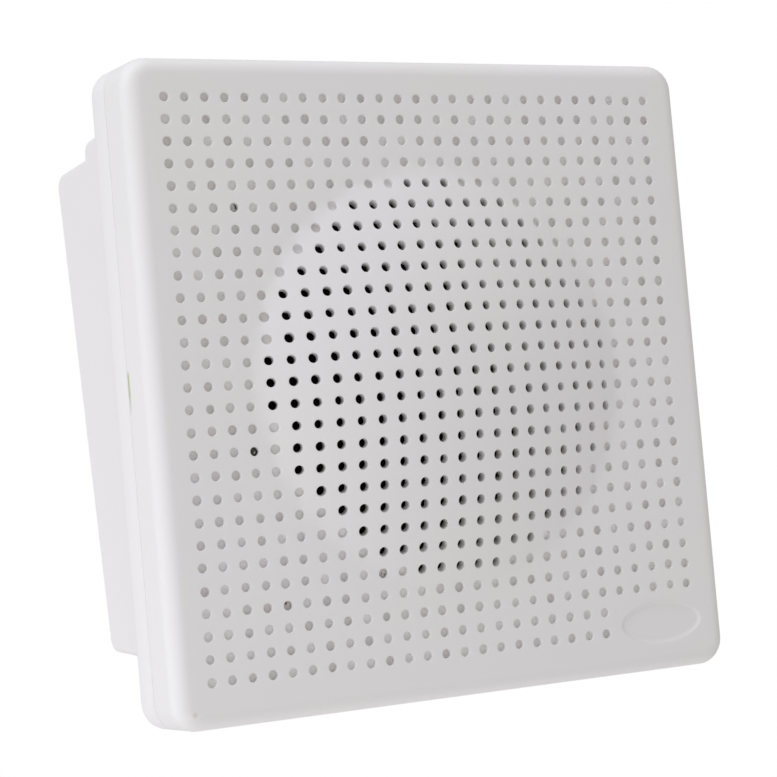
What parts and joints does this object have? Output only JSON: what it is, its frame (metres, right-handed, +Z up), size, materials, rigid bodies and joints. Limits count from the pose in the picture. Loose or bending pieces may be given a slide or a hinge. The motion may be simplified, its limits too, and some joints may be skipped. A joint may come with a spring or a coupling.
{
  "type": "public address speaker",
  "caption": "Square white wall loudspeaker for public address: moulded front with a domed hole field, wedge-shaped rear housing, cone driver and line transformer inside.",
  "frame": {"origin": "middle of the flat back of the housing, on the wall", "axes": "+Y into the wall, +Z up, +X to the right of someone who looks at the front"},
  "size_m": [0.2112, 0.1134, 0.2122],
  "materials": {
    "white_abs": "moulded ABS, fine satin",
    "black_rubber": "moulded rubber",
    "grey_foam": "closed cell foam",
    "zinc_steel": "zinc plated steel",
    "black_steel": "black painted pressed steel",
    "cone_paper": "black pressed paper",
    "former_paper": "kraft paper tube",
    "spider_cloth": "resin dipped cotton",
    "copper": "enamelled copper wire",
    "ferrite": "sintered ferrite",
    "phenolic": "phenolic sheet",
    "brass": "plain brass",
    "lamination": "stacked silicon steel",
    "bobbin_nylon": "moulded nylon",
    "block_nylon": "moulded nylon"
  },
  "bodies": {
    "housing": {"front_grille": "white_abs", "rear_housing": "white_abs", "cable_grommet": "black_rubber", "case_screws": "zinc_steel", "driver_basket": "black_steel", "driver_gasket": "grey_foam", "driver_screws": "zinc_steel", "surround": "black_rubber", "spider": "spider_cloth", "top_plate": "zinc_steel", "magnet": "ferrite", "pole_yoke": "zinc_steel", "solder_strip": "phenolic", "solder_tags": "brass", "transformer_core": "lamination", "transformer_bobbin": "bobbin_nylon", "transformer_winding": "copper", "transformer_strap": "zinc_steel", "transformer_screws": "zinc_steel", "terminal_block": "block_nylon", "terminal_clamps": "brass", "terminal_clamp_screws": "zinc_steel", "terminal_block_screws": "zinc_steel"},
    "cone": {"cone": "cone_paper", "dust_cap": "cone_paper", "voice_coil_former": "former_paper", "voice_coil_winding": "copper"}
  },
  "joints": [
    {"name": "cone_travel", "type": "slide", "parent": "housing", "child": "cone", "axis": [0, -0.9959, -0.0906], "range_m": [-0.002, 0.002], "stiffness_N_per_m": 1500, "deforming": ["surround", "spider"]}
  ]
}
